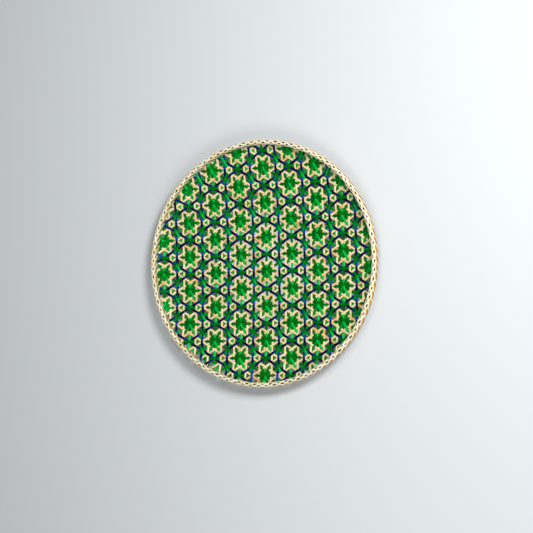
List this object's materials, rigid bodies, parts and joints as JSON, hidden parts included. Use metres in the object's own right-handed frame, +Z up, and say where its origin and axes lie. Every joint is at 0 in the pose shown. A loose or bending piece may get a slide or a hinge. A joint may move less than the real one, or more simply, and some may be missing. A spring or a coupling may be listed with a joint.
{
  "type": "woven tray",
  "caption": "Round shallow tray woven from natural, green and navy leaf strips in a pattern of six-pointed stars, with a lashed natural rim.",
  "frame": {"origin": "centre of the tray, on the surface that it rests on", "axes": "+Z up out of the tray's open face; +Y along the upright strips; +X along the level strips"},
  "size_m": [0.3, 0.3, 0.023],
  "materials": {
    "natural_strip": "undyed split leaf, satin",
    "green_strip": "dyed green, satin",
    "navy_strip": "dyed navy blue, satin",
    "natural_edging": "pale undyed split leaf, satin",
    "rattan": "bare split rattan"
  },
  "bodies": {
    "root": {"green_ray_strips_level": "green_strip", "green_ray_strips_steep_falling": "green_strip", "green_ray_strips_steep_rising": "green_strip", "green_strip_falling_1": "green_strip", "green_strip_falling_2": "green_strip", "green_strip_falling_3": "green_strip", "green_strip_falling_4": "green_strip", "green_strip_falling_5": "green_strip", "green_strip_falling_6": "green_strip", "green_strip_falling_7": "green_strip", "green_strip_falling_8": "green_strip", "green_strip_rising_1": "green_strip", "green_strip_rising_2": "green_strip", "green_strip_rising_3": "green_strip", "green_strip_rising_4": "green_strip", "green_strip_rising_5": "green_strip", "green_strip_rising_6": "green_strip", "green_strip_rising_7": "green_strip", "green_strip_rising_8": "green_strip", "green_strip_upright_1": "green_strip", "green_strip_upright_2": "green_strip", "green_strip_upright_3": "green_strip", "green_strip_upright_4": "green_strip", "green_strip_upright_5": "green_strip", "green_strip_upright_6": "green_strip", "green_strip_upright_7": "green_strip", "green_strip_upright_8": "green_strip", "inner_hoop": "rattan", "natural_strips_falling": "natural_strip", "natural_strips_rising": "natural_strip", "natural_strips_upright": "natural_strip", "navy_strip_falling_1": "navy_strip", "navy_strip_falling_2": "navy_strip", "navy_strip_falling_3": "navy_strip", "navy_strip_falling_4": "navy_strip", "navy_strip_falling_5": "navy_strip", "navy_strip_falling_6": "navy_strip", "navy_strip_falling_7": "navy_strip", "navy_strip_falling_8": "navy_strip", "navy_strip_rising_1": "navy_strip", "navy_strip_rising_2": "navy_strip", "navy_strip_rising_3": "navy_strip", "navy_strip_rising_4": "navy_strip", "navy_strip_rising_5": "navy_strip", "navy_strip_rising_6": "navy_strip", "navy_strip_rising_7": "navy_strip", "navy_strip_rising_8": "navy_strip", "navy_strip_upright_1": "navy_strip", "navy_strip_upright_2": "navy_strip", "navy_strip_upright_3": "navy_strip", "navy_strip_upright_4": "navy_strip", "navy_strip_upright_5": "navy_strip", "navy_strip_upright_6": "navy_strip", "navy_strip_upright_7": "navy_strip", "navy_strip_upright_8": "navy_strip", "outer_hoop": "rattan", "plaited_edging": "natural_edging", "rim_filler_rod": "rattan"}
  },
  "joints": []
}
